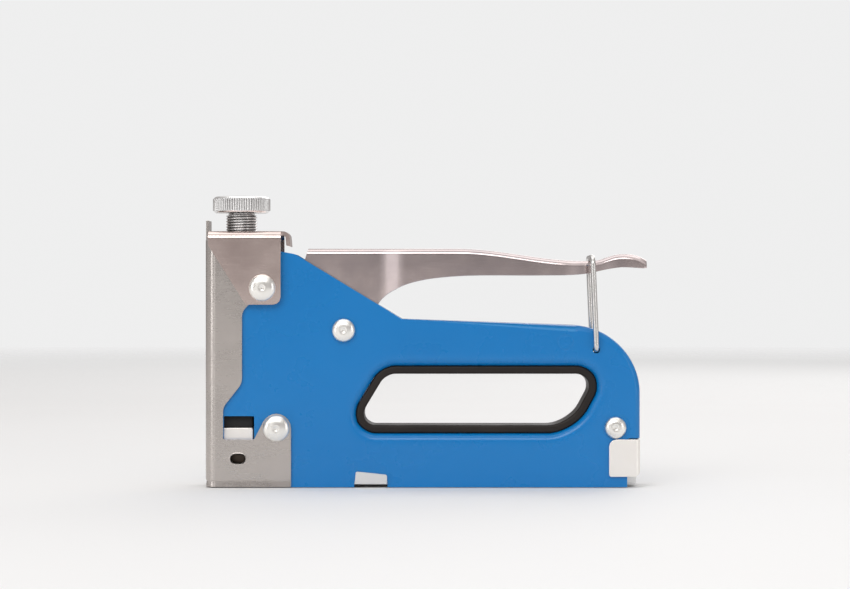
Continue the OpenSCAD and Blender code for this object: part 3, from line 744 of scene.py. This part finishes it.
# %% [markdown]
# ## The adjusting screw and its knob
#
# A screw thread is a helix: one tooth of its section, spun with a step up for each part of the
# turn. A stack of rings would look like a thread from afar, but its lines would be level. The
# tooth is a short line, flank, crest, flank and root, exactly one pitch high, so that each turn
# ends where the next begins. The helix is then cut level at both ends and capped.

# %% Screw with a real helix
pitch = 1.0
neck_low, neck_high, neck_r = 99.6, 100.7, 4.9
thread_low, thread_high = 74.4, 99.7


def threaded_rod():
    """The helix, with a value at its roots that the finish reads as painted shade."""
    rod = bmesh.new()
    crest, root = 5.75, 5.22
    turns = round((thread_high - thread_low) / pitch) + 2
    tooth = [(root, 0.0), (crest - 0.04, 0.36), (crest, 0.44), (crest, 0.56), (crest - 0.04, 0.64),
             (root, 0.98), (root, 1.0)]
    groove = rod.verts.layers.float.new("groove")
    points = [rod.verts.new((screw_x + out, 0, thread_low - pitch + up * pitch)) for out, up in tooth]
    for point in (points[0], points[5], points[6]):
        point[groove] = 1.0
    edges = [rod.edges.new(pair) for pair in zip(points, points[1:])]
    steps = 36
    bmesh.ops.spin(rod, geom=points + edges, cent=(screw_x, 0, 0), axis=(0, 0, 1), steps=turns * steps,
                   angle=2 * math.pi * turns, dvec=(0, 0, pitch / steps))
    bmesh.ops.remove_doubles(rod, verts=rod.verts[:], dist=2e-3)
    cut_level(rod, thread_high, clear_outer=True)
    cut_level(rod, thread_low, clear_inner=True)
    return rod


def put_on_ring(points, radius, level):
    """Moves the points onto a plain ring round the screw's axis."""
    for point in points:
        away = Vector((point.co.x - screw_x, point.co.y, 0)).normalized() * radius
        point.co = (screw_x + away.x, away.y, level)


# %% Cap it, and add the neck that the knob is pressed on
rod = threaded_rod()
for level in (thread_high, thread_low):
    rim = open_edges(rod, lambda at: abs(at.z - level) < 1e-3)
    inner = bmesh.ops.extrude_edge_only(rod, edges=rim)
    put_on_ring(points_of(inner), 4.4, level)
bmesh.ops.bridge_loops(rod, edges=open_edges(rod, lambda at: True))
neck = turned([(screw_x, 0, neck_low), (screw_x + neck_r, 0, neck_low),
               (screw_x + neck_r, 0, neck_high), (screw_x, 0, neck_high)], (screw_x, 0, 0), (0, 0, 1))
put_in(rod, neck)
hand_over(rod, "threaded_screw", "adjuster", ["adjuster_screw"], screw_zinc, edge=0.0)

# %% [markdown]
# ## The knurled knob
#
# Straight knurls are a row of small ridges pressed into the rim. Modelling them one by one is
# needless: a circle with four points for each ridge, pulled in by different amounts, is the
# whole section. It is extruded to height between two plain chamfers.

# %% Knob
ridges, knob_r, knob_low, knob_high = 72, 10.6, 100.6, 106.6
chamfer = 0.9
ridge_depths = (0.45, 0.08, 0.0, 0.08)
knob = bmesh.new()
bmesh.ops.create_circle(knob, cap_ends=True, segments=4 * ridges, radius=knob_r,
                        matrix=Matrix.Translation((screw_x, 0, knob_low + chamfer)))
# The groove value marks the bottom of each knurl, where the finish paints shade.
groove = knob.verts.layers.float.new("groove")
for number, point in enumerate(knob.verts):
    away = (point.co - Vector((screw_x, 0, point.co.z))).normalized()
    point.co -= away * ridge_depths[number % 4]
    point[groove] = number % 4 == 0
up = bmesh.ops.extrude_face_region(knob, geom=knob.faces[:], use_keep_orig=True)
bmesh.ops.translate(knob, verts=points_of(up), vec=(0, 0, knob_high - knob_low - 2 * chamfer))


# %% Its chamfers, and the shallow dish in its top
def step_in(face, radius, level):
    """Draws a face of the knob out to a plain clean ring, and returns the new face."""
    face = bmesh.ops.extrude_discrete_faces(knob, faces=[face])["faces"][0]
    put_on_ring(face.verts, radius, level)
    for point in face.verts:
        point[groove] = 0
    return face


for direction, end in ((1, knob_high), (-1, knob_low)):
    face = max((item for item in knob.faces if len(item.verts) > ridges),
               key=lambda item: direction * item.calc_center_median().z)
    rings = [(0.42, 0.62), (0.62, 0.30), (1.15, 0.0)]
    if direction > 0:
        rings += [(2.2, 0.0), (2.7, 0.35)]
    for inset, depth in rings:
        face = step_in(face, knob_r - inset, end - direction * depth)
hand_over(knob, "knurled_knob", "adjuster", ["adjuster_knob"], knob_chrome, edge=0.0)

# %% [markdown]
# ## The squeeze lever
#
# The lever is pressed from one sheet: a channel that is narrow at its pin, flares into a wide
# handle and narrows again to a tail. Its width changes along its length, so it can't simply be
# extruded. Instead one side is made as a strip: an upright line at the front, drawn out station
# by station to the tail. At each station its two ends are put on the top and bottom curves and
# at the lever's half width. The top edge is then drawn in to the middle and rounded, which gives
# the soft bend that catches the light along the whole handle.

# %% The lever's curves
def ease(t):
    """From 0 to 1 with a soft start and end."""
    t = min(max(t, 0.0), 1.0)
    return (1 - math.cos(math.pi * t)) / 2


def curve(points, x):
    """The height at x of a smooth curve through the points."""
    number = max(index for index, point in enumerate(points[:-1]) if x >= point[0] or index == 0)
    (x0, z0), (x1, z1) = points[number], points[number + 1]
    before, after = points[max(number - 1, 0)], points[min(number + 2, len(points) - 1)]
    span = x1 - x0
    rise0 = (z1 - before[1]) / (x1 - before[0]) * span
    rise1 = (after[1] - z0) / (after[0] - x0) * span
    t = (x - x0) / span
    return (z0 * (1 + 2 * t) * (1 - t) ** 2 + z1 * t * t * (3 - 2 * t)
            + rise0 * t * (1 - t) ** 2 - rise1 * t * t * (1 - t))


def lever_top(x):
    dip = 87.3 - 4.5 * ease((x - 92) / 47)
    return dip + 2.6 * ease((x - 141.8) / 11) - 2.3 * max((x - 154.0) / 8.1, 0) ** 2.4


def lever_bottom(x):
    if x < 44.3:
        return 82.3 - (x - 36.1) * 26 / 8.2
    if x < 56.0:
        return pivot[1] - math.sqrt(6.5 ** 2 - (x - pivot[0]) ** 2)
    return curve([(56.0, 53.9), (58.5, 58.6), (62.8, 66.6), (65.6, 69.9), (70.0, 72.7), (75.0, 74.7),
                  (83.0, 76.4), (96.8, 77.5), (123.8, 77.6), (138.8, 78.0), (147.8, 79.8),
                  (154.0, 80.6), (162.1, 80.2)], x)


def half_width(x):
    """The lever's half width, from the neck to the handle and down to the tail."""
    return 7.2 + 1.3 * ease((x - 63.0) / 11.0) - 3.0 * ease((x - 130.5) / 22.0)


# %% Lever
stations = [37.6, 38.6, 40.2, 41.8, 43.2, 44.3, 44.6, 45.2, 46.1, 47.3, 48.9, 50.7, 52.4, 54.0, 55.2]
stations += [56.0 + 1.2 * step for step in range(18)] + [78.0 + 2.4 * step for step in range(31)]
stations += [152.0, 153.8, 155.4, 156.8, 158.0, 159.2, 160.2, 161.0, 161.6, 162.1]
side = bmesh.new()
low, high = side.verts.new((36.1, 0, 82.3)), side.verts.new((37.6, 0, lever_top(37.6)))
edge = [side.edges.new((low, high))]
for x in stations[1:]:
    edge = draw_out(side, edge, (0, 0, 0))
    low, high = sorted(edge[0].verts, key=lambda point: point.co.z)
    lag = 1.5 * max(1 - (x - 37.6) / 6.7, 0)
    low.co = (x - lag, 0, lever_bottom(x - lag))
    high.co = (x, 0, lever_top(x))
for point in side.verts:
    point.co.y = -half_width(point.co.x)
ridge = [edge for edge in side.edges
         if all(abs(point.co.z - lever_top(point.co.x)) < 1e-4 for point in edge.verts)]
inner = bmesh.ops.extrude_edge_only(side, edges=ridge)
for point in points_of(inner):
    point.co.y = 0
round_over(side, ridge, 2.2, 7, loop_slide=True)
mirrored(side)
hand_over(side, "pressed_lever", "lever_arm", ["lever"], lever_chrome, wall=1.2,
          edge=0.22)

# %% [markdown]
# ## The wire lock
#
# The lock is one bent wire. Sweeping a circle along a curve would do, but bending it step by
# step is how the wire is really made: feed a length, turn it round a former, feed again. An
# extrude feeds the wire and a spin bends it. Half of it is made, then mirrored.

# %% Bail
wire_r = 1.0


def feed(wire, ring, move):
    """Draws the wire's open end out, and returns its new end."""
    made = bmesh.ops.extrude_edge_only(wire, edges=ring)
    bmesh.ops.translate(wire, verts=points_of(made), vec=move)
    return [edge for edge in edges_of(made) if all(point in points_of(made) for point in edge.verts)]


bail_at = Vector((143.2, 0, 50.3))
saddle = Vector((141.8, 0, 84.1))
lean = math.atan2(saddle.x - bail_at.x, saddle.z - bail_at.z)
leg = (saddle - bail_at).length
leg_y, foot_r, head_r = 11.3, 1.6, 3.0
foot_end = 8.5
wire = bmesh.new()
bmesh.ops.create_circle(wire, segments=20, radius=wire_r,
                        matrix=Matrix.Translation((0, 0, leg)) @ Matrix.Rotation(math.pi / 2, 4, "X"))
ring = feed(wire, wire.edges[:], (0, -(leg_y - head_r), 0))
ring = bend(wire, ring, (0, -(leg_y - head_r), leg - head_r), (1, 0, 0), 90, 10)
ring = feed(wire, ring, (0, 0, -(leg - head_r - foot_r)))
ring = bend(wire, ring, (0, -(leg_y - foot_r), foot_r), (1, 0, 0), 90, 8)
ring = feed(wire, ring, (0, leg_y - foot_r - foot_end, 0))
bmesh.ops.contextual_create(wire, geom=ring)
mirrored(wire)
bmesh.ops.transform(wire, verts=wire.verts[:],
                    matrix=Matrix.Translation(bail_at) @ Matrix.Rotation(lean, 4, "Y"))
hand_over(wire, "bent_wire_lock", "wire_lock", ["bail"], bail_wire, edge=0.1)

# %% [markdown]
# ## The rear cap
#
# The magazine's cap is a small folded sheet with a thick bright plating. Two fingers squeeze its
# cheeks to pull it out. It is made like the nose, facing the other way. Its lower edge is then
# lifted towards the rear along a quarter circle, which rounds that corner.

# %% Rear cap
cap_y, cap_bend, bend_x = 11.15, 1.9, 157.4
cap_low, cap_high = 3.8, 17.5
corner_x, corner_r = 157.1, 2.2
cap = outline([(147.8, cap_low, 0.9), (bend_x, cap_low, 0), (bend_x, cap_high, 0),
               (147.8, cap_high, 2.7)], -cap_y)
fold = open_edges(cap, lambda at: at.x > bend_x - 0.1)
back = bend(cap, fold, (bend_x, cap_bend - cap_y, 0), (0, 0, 1), 90)
draw_out(cap, back, (0, cap_y - cap_bend, 0))
for point in cap.verts:
    depth = point.co.x - corner_x
    if depth > 0 and point.co.z < cap_low + 1:
        point.co.z += corner_r - math.sqrt(max(corner_r ** 2 - depth ** 2, 0))
mirrored(cap)
hand_over(cap, "folded_rear_cap", "magazine", ["rear_cap"], cap_plating, wall=1.0,
          edge=0.3, segments=4)

# %% [markdown]
# ## The liner of the hand hole
#
# A moulded ring fills the rim of the hand hole. It is the hole's outline inset by the wall and
# extruded across the body, with lips rounded where the fingers pass over them. Rounding is a
# bevel on the four edge loops.

# %% Liner
liner_y, liner_wall, liner_gap = 8.2, 2.98, 0.02
liner = outline(grown(hand_hole, -liner_gap), -liner_y)
face = liner.faces[:][0]
bmesh.ops.inset_individual(liner, faces=[face], thickness=liner_wall, use_even_offset=True)
bmesh.ops.delete(liner, geom=[face], context="FACES_ONLY")
depth = bmesh.ops.extrude_face_region(liner, geom=liner.faces[:], use_keep_orig=True)
bmesh.ops.translate(liner, verts=points_of(depth), vec=(0, 2 * liner_y, 0))
lips = [edge for edge in liner.edges if len(edge.link_faces) == 2 and edge.calc_face_angle(0) > 1.4]
round_over(liner, lips, 0.9, 4)
hand_over(liner, "moulded_liner", "body", ["grip_liner"], black_plastic, edge=0.0)

# %% [markdown]
# ## Springs
# A coil is the same operation as the screw thread: a small circle of wire, spun many times with
# a step along the axis. The feed spring is squeezed as the pusher moves back. The main spring is
# squeezed from below by the plunger and from above by the adjusting screw, and it is made as two
# halves that meet at its middle. One piece can follow only one joint, so this spring is
# made as two halves that meet at its middle, and each is squashed towards there.

# %% Coils
def coil(centre, axis, radius, wire_radius, turns, length, steps=18, sides=10):
    """A helical spring along an axis, starting at the centre."""
    spring = bmesh.new()
    along = Vector(axis)
    out = Vector((0, 0, 1)) if abs(along.z) < 0.5 else Vector((1, 0, 0))
    turn = Matrix((out, along, along.cross(out))).transposed().to_4x4()
    bmesh.ops.create_circle(spring, segments=sides, radius=wire_radius, cap_ends=True,
                            matrix=Matrix.Translation(Vector(centre) + out * radius) @ turn)
    parts = round(turns * steps)
    bmesh.ops.spin(spring, geom=spring.faces[:], cent=centre, axis=axis, steps=parts,
                   angle=2 * math.pi * turns, dvec=along * length / parts)
    return spring


spring_low, middle_z = 62.85, 81.04
for name, start, turns, length, joint, move in (
        ("main_coil_lower", spring_low, 6, 18.19, "plunger_lift", 6.9),
        ("main_coil_upper", middle_z, 5, 15.16, "adjuster_travel", 6.0)):
    half = coil((screw_x, 0, start), (0, 0, 1), 3.45, 0.7, turns, length)
    half = hand_over(half, name, "body", ["main_spring"], spring_wire, edge=0.0)
    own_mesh(half)
feed_spring = coil((20.6, 0, 8.0), (1, 0, 0), 2.4, 0.35, 36, 137.3, 16, 8)
feed_spring = hand_over(feed_spring, "feed_coil", "magazine", ["pusher_spring"],
                        spring_wire, edge=0.0)
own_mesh(feed_spring)

# %% [markdown]
# ## The parts inside
#
# The plain machined and stamped parts already have the right shape in the CAD model, and only
# miss what the eye expects of real metal: edges that are a little rounded. A CAD mesh is loose
# triangles, so a copy of it is merged, its flat triangles are joined, and a narrow bevel goes on
# every edge sharper than 34 degrees. Round sides are made of flatter steps and stay as they are.

# %% Soften the edges of a copy
def softened(node, body, slot, material, edge=0.2):
    copy = bmesh.new()
    copy.from_mesh(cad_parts[node].data)
    bmesh.ops.transform(copy, verts=copy.verts[:], matrix=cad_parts[node].matrix_world)
    bmesh.ops.remove_doubles(copy, verts=copy.verts[:], dist=1e-6)
    bmesh.ops.transform(copy, verts=copy.verts[:],
                        matrix=Matrix.Scale(1000, 4) @ Matrix.Translation((-nose, 0, 0)))
    bmesh.ops.dissolve_limit(copy, angle_limit=0.01, verts=copy.verts[:], edges=copy.edges[:])
    return hand_over(copy, node + "_finished", body, [node], material, edge=edge, segments=2)


# %% The inner parts: node, body, slot, finish and how far its edges are rounded
inner_parts = [
    ("magazine_channel", "body", "sheet_steel", channel_zinc, 0.25),
    ("magazine_rail", "magazine", "sheet_steel", zinc_sheet, 0.15),
    ("guide_rod", "magazine", "wire_steel", bail_wire, 0.3),
    ("pusher", "staple_pusher", "sheet_steel", hard_steel, 0.2),
    ("striker_guide", "body", "nickel_plate", cap_plating, 0.5),
    ("bumper", "body", "black_rubber", black_rubber, 0.5),
    ("plunger", "hammer", "hard_steel", hard_steel, 0.4),
    ("striker", "hammer", "hard_steel", zinc_sheet, 0.1),
    ("striker_rivet", "hammer", "rivet_steel", rivet_steel, 0.3),
    ("lifter", "lever_arm", "hard_steel", hard_steel, 0.4),
    ("lifter_rivet", "lever_arm", "rivet_steel", rivet_steel, 0.3),
    ("adjuster_nut", "body", "knob_chrome", screw_zinc, 0.3),
    ("spring_seat", "seat", "hard_steel", hard_steel, 0.3),
    ("pivot_washers", "body", "sheet_steel", zinc_sheet, 0.15),
    ("front_spacers", "body", "sheet_steel", zinc_sheet, 0.15),
    ("rear_spacers", "body", "sheet_steel", zinc_sheet, 0.15),
]
for part in inner_parts:
    softened(*part)

# %% [markdown]
# The lever's return spring is a short coil with two straight legs that the CAD model bends to
# their seats. Its own mesh is right, so it only gets the wire's finish. One leg stands on the
# body and the other on the lever. The piece itself is tied to no body.

# %% Return spring
return_spring = softened("lever_spring", None, "spring_steel", spring_wire, 0.0)
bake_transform(return_spring)
print("nodes shown as they are:", [name for name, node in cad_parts.items()
                                   if not node.hide_render])

# %% [markdown]
# ## Floor, light and camera
#
# The gun stands on a plain pale floor in a soft studio. Metal shows what stands round it, so
# the world is not one grey: it is bright above, dark just over the horizon, and lighter and
# darker by turns round the sides. A large lamp in front and above lights the paint, and two
# more, above and behind, lift the top edges. Tall strips at the sides draw a bright line along
# upright folds. Lamps are hidden from the camera, and the rays that go straight from the camera
# to the world see an even pale backdrop.

# %% World
scene = bpy.context.scene
scene.view_settings.view_transform = "Standard"
world = bpy.data.worlds.new("studio")
scene.world = world
world.use_nodes = True
sky = world.node_tree
air = Signal(sky)
up = air.add("ShaderNodeTexCoord", {}, {}, "Generated")
height = up.add("ShaderNodeSeparateXYZ", {}, {"Vector": up}, "Z")
across = up.add("ShaderNodeSeparateXYZ", {}, {"Vector": up}, "X")
around = ramp(across * 0.5 + 0.5, {0.0: 1.0, 0.18: 0.35, 0.38: 1.0, 0.45: 0.62, 0.56: 0.62,
                                   0.66: 1.0, 0.82: 0.30, 1.0: 1.0})
above = ramp(height * 0.5 + 0.5, {0.0: 0.45, 0.46: 0.40, 0.54: 0.36, 0.60: 0.22, 0.72: 0.50,
                                  0.9: 0.75})
warm = mixed(above * around * 1.6, (0.02, 0.0, 0.0), (1.0, 0.985, 0.97))
seen = air.add("ShaderNodeLightPath", {}, {}, "Is Camera Ray")
colour = mixed(seen, warm, (0.86, 0.86, 0.86))
sky.links.new(colour.socket, sky.nodes["Background"].inputs["Color"])


# %% Lamps
def lamp(name, place, target, size, power):
    """A soft rectangular lamp that looks at the target. Places and sizes are in metres."""
    data = bpy.data.lights.new(name, "AREA")
    data.shape = "RECTANGLE"
    data.size, data.size_y = size
    data.energy = power
    item = bpy.data.objects.new(name, data)
    item.location = place
    item.rotation_euler = (Vector(target) - Vector(place)).to_track_quat("-Z", "Y").to_euler()
    item.visible_camera = False
    scene.collection.objects.link(item)


lamp("front lamp", (-0.35, -1.15, 1.0), (0, 0, 0.05), (1.3, 0.6), 7.5)
strip = (0.28, 0.8)
lamp("left strip", (-1.1, -0.95, 0.25), (0, 0, 0.07), strip, 1.9)
lamp("near strip", (-0.56, -1.3, 0.22), (0, 0, 0.07), strip, 0.5)
lamp("right strip", (1.1, -0.95, 0.25), (0, 0, 0.07), strip, 1.9)
lamp("top lamp", (0.0, 0.1, 1.1), (0, 0, 0.05), (1.2, 0.8), 2.5)
lamp("back lamp", (0.5, 1.2, 0.7), (0, 0, 0.05), (1.2, 0.7), 4)

# %% [markdown]
# The floor is a wide disc a hair below the gun. It fades out with distance, through its Alpha, so
# that it passes into the backdrop without a horizon line.

# %% Floor
floor_sheet = bmesh.new()
bmesh.ops.create_circle(floor_sheet, cap_ends=True, segments=96, radius=6.0,
                        matrix=Matrix.Translation((0, 0, -0.0002)))
floor_mesh = bpy.data.meshes.new("floor")
floor_sheet.to_mesh(floor_mesh)
floor_sheet.free()
floor = bpy.data.objects.new("floor", floor_mesh)
scene.collection.objects.link(floor)


def floor_pattern(place):
    away = place.vector("LENGTH", output="Value")
    return {"Base Color": mixed(noise(place, 3, 2.0), (0.80, 0.80, 0.80), (0.83, 0.83, 0.83)),
            "Alpha": ramp(away * 0.25, {0.16: 1.0, 0.6: 0.0})}


floor_mesh.materials.append(finish("pale_floor", {"Roughness": 0.7}, floor_pattern))

# %% [markdown]
# The camera looks straight at the side, level with the lever's height, through a long lens, so
# that near and far sides keep almost the same size.

# %% Camera
lens = bpy.data.cameras.new("camera")
lens.lens = 100
lens.sensor_width = 36
lens.clip_start = 0.01
camera = bpy.data.objects.new("camera", lens)
camera.location = (-0.0006, -0.874, 0.0705)
camera.rotation_euler = (math.pi / 2, 0, 0)
scene.collection.objects.link(camera)
scene.camera = camera
